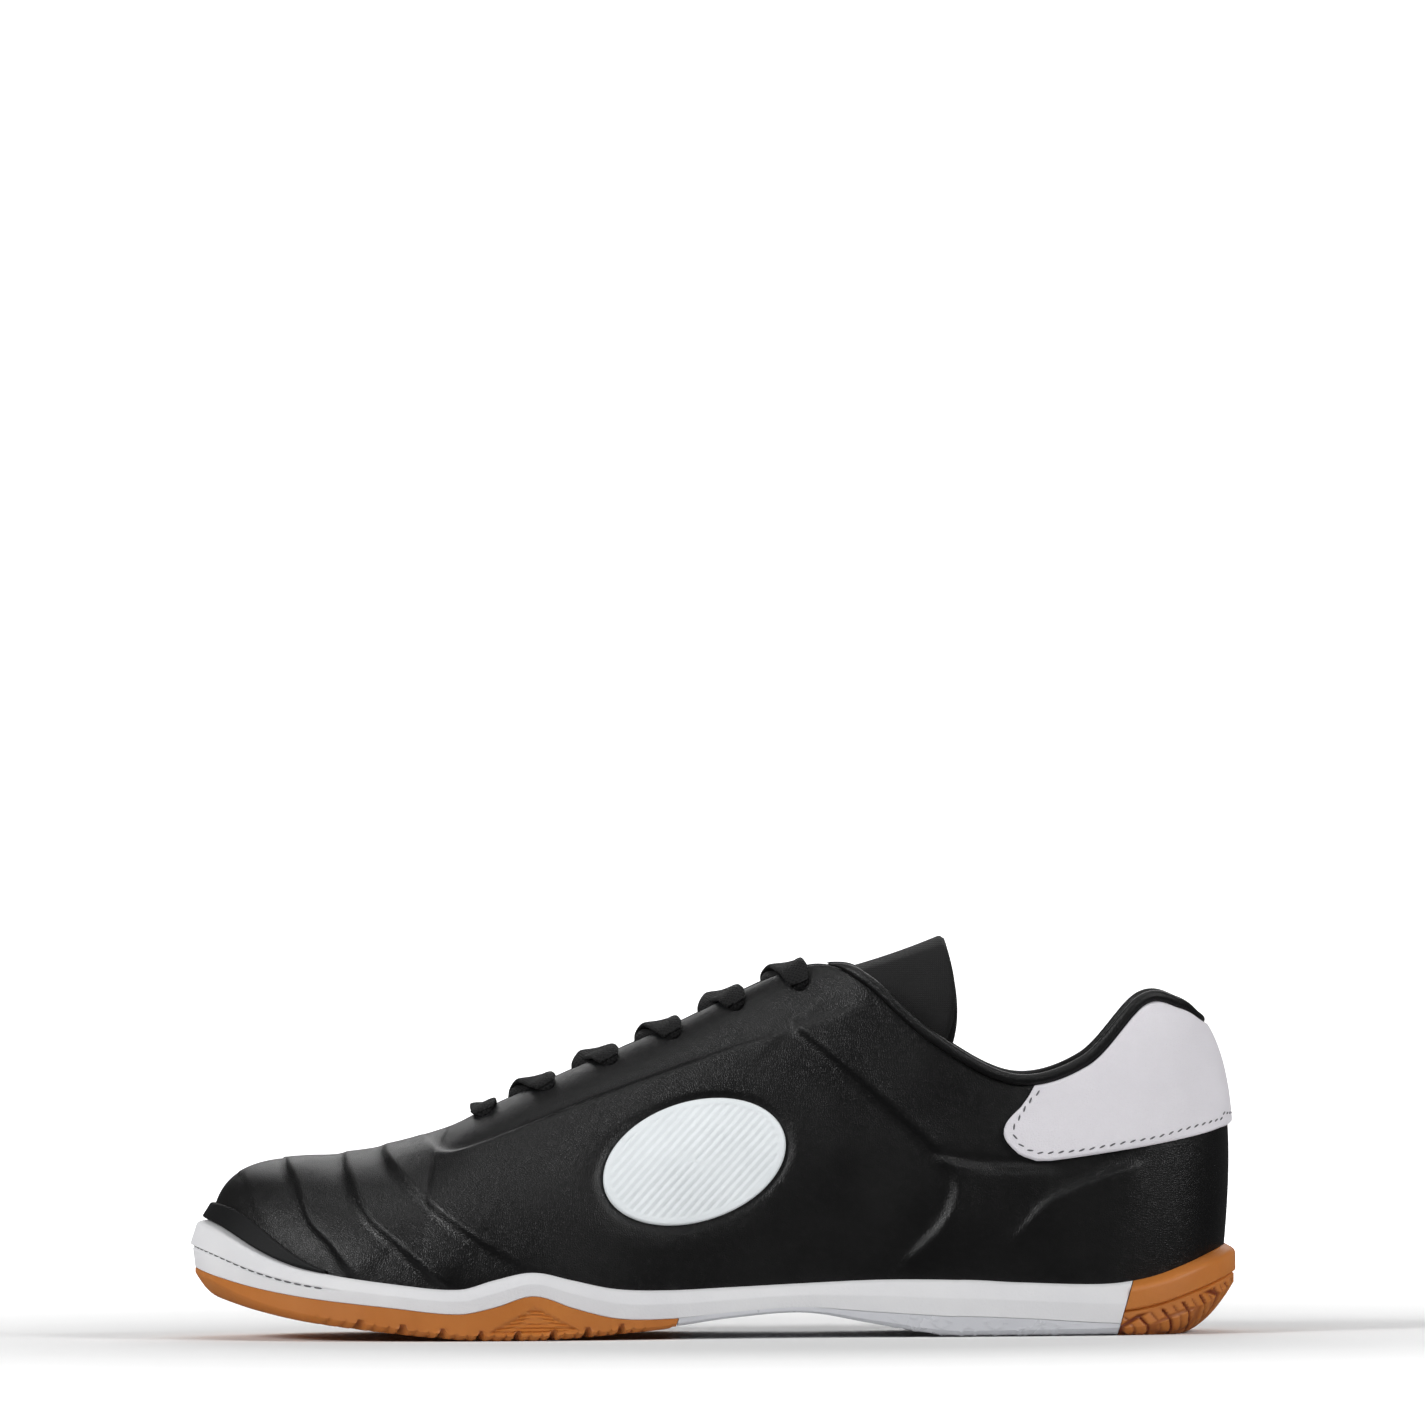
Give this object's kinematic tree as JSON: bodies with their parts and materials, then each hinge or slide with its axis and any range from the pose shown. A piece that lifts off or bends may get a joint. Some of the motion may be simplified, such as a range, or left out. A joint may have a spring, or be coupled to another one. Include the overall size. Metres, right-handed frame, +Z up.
{
  "type": "indoor soccer shoe",
  "caption": "Low indoor soccer shoe: ribbed leather vamp, laced throat, padded tongue, rolled collar, foam midsole and flat rubber sole.",
  "frame": {"origin": "on the floor under the middle of the shoe's bounding box", "axes": "+X towards the heel, -X towards the toe; -Y is the outer side of the foot; +Z up"},
  "size_m": [0.29, 0.1043, 0.1113],
  "materials": {
    "gum_rubber": "satin, orange-brown",
    "clear_rubber": "milky, slightly see-through",
    "white_foam": "fine textured",
    "black_leather": "grained, soft gloss",
    "guard_black": "matt",
    "white_leather": "smooth, stitched",
    "pad_white": "fine ribs",
    "black_textile": "close weave",
    "lace_black": "flat woven"
  },
  "bodies": {
    "root": {"outsole_forefoot": "gum_rubber", "outsole_shank": "clear_rubber", "outsole_heel": "gum_rubber", "midsole": "white_foam", "upper": "black_leather", "toe_guard": "guard_black", "heel_counter": "white_leather", "collar_binding": "black_leather", "side_pad_outer": "pad_white", "side_pad_inner": "pad_white", "tongue": "black_textile", "insole": "black_textile", "lace_toe_bar": "lace_black", "lace_crossing_1": "lace_black", "lace_crossing_2": "lace_black", "lace_crossing_3": "lace_black", "lace_crossing_4": "lace_black", "lace_crossing_5": "lace_black"}
  },
  "joints": []
}
